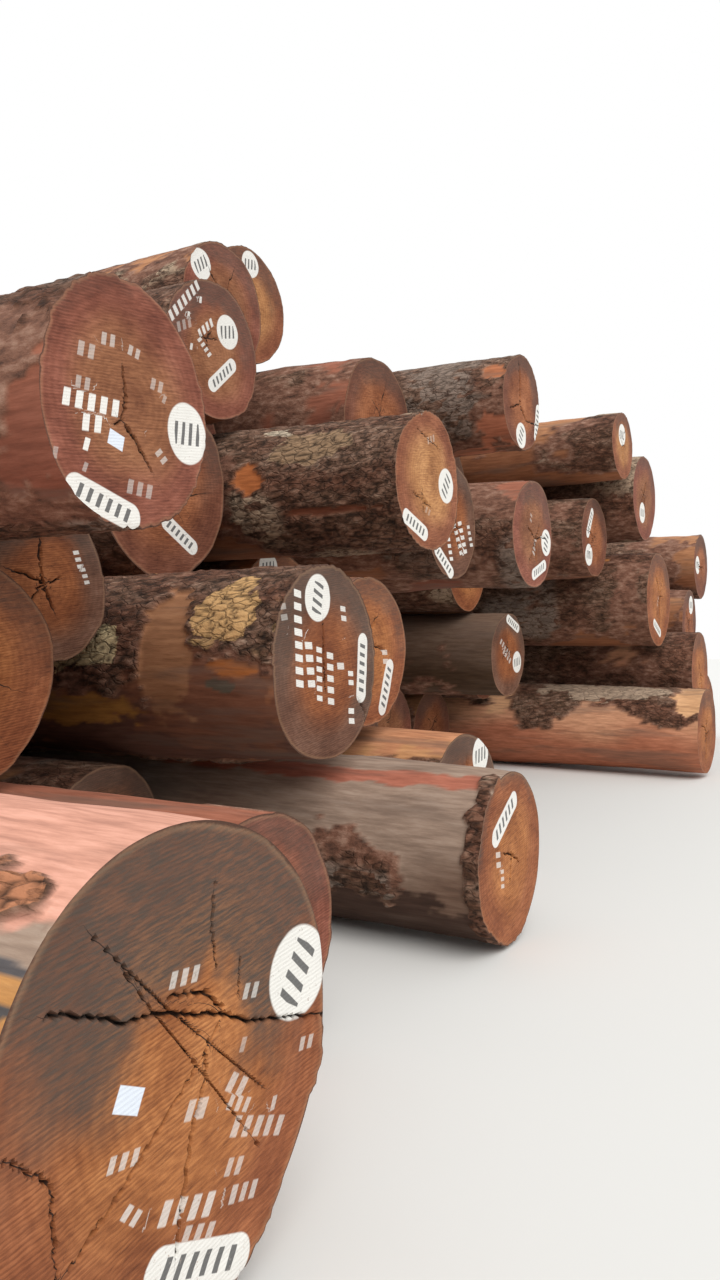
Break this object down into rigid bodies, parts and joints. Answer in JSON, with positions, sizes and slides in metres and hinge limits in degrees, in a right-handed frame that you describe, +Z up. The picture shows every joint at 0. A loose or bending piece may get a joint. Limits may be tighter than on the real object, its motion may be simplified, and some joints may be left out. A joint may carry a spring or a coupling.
{
  "type": "heap of logs",
  "caption": "Heap of sawn hardwood logs stacked in a long row with their faces to the front, each log a separate piece.",
  "frame": {"origin": "middle of the heap's footprint, on the ground", "axes": "+X along the row of sawn faces, to the right as seen from the front; +Y along the logs, away from the front faces; +Z up"},
  "size_m": [13.9364, 9.2386, 4.6905],
  "materials": {
    "log": "rough"
  },
  "bodies": {
    "root": {"ground_log_1": "log", "ground_log_2": "log", "ground_log_3": "log", "ground_log_4": "log", "ground_log_5": "log", "ground_log_6": "log", "ground_log_7": "log", "ground_log_8": "log", "ground_log_9": "log", "ground_log_10": "log", "ground_log_11": "log", "ground_log_12": "log", "ground_log_13": "log", "lower_log_10": "log", "lower_log_9": "log", "lower_log_11": "log", "lower_log_8": "log", "lower_log_12": "log", "lower_log_3": "log", "lower_log_1": "log", "lower_log_4": "log", "lower_log_6": "log", "lower_log_7": "log", "middle_log_10": "log", "lower_log_5": "log", "lower_log_2": "log", "middle_log_9": "log", "middle_log_11": "log", "middle_log_7": "log", "middle_log_1": "log", "middle_log_5": "log", "upper_log_8": "log", "middle_log_4": "log", "middle_log_2": "log", "middle_log_3": "log", "middle_log_8": "log", "middle_log_6": "log", "upper_log_7": "log", "upper_log_2": "log", "upper_log_5": "log", "upper_log_3": "log", "upper_log_1": "log", "upper_log_6": "log", "upper_log_4": "log", "top_log_1": "log", "top_log_2": "log"}
  },
  "joints": []
}
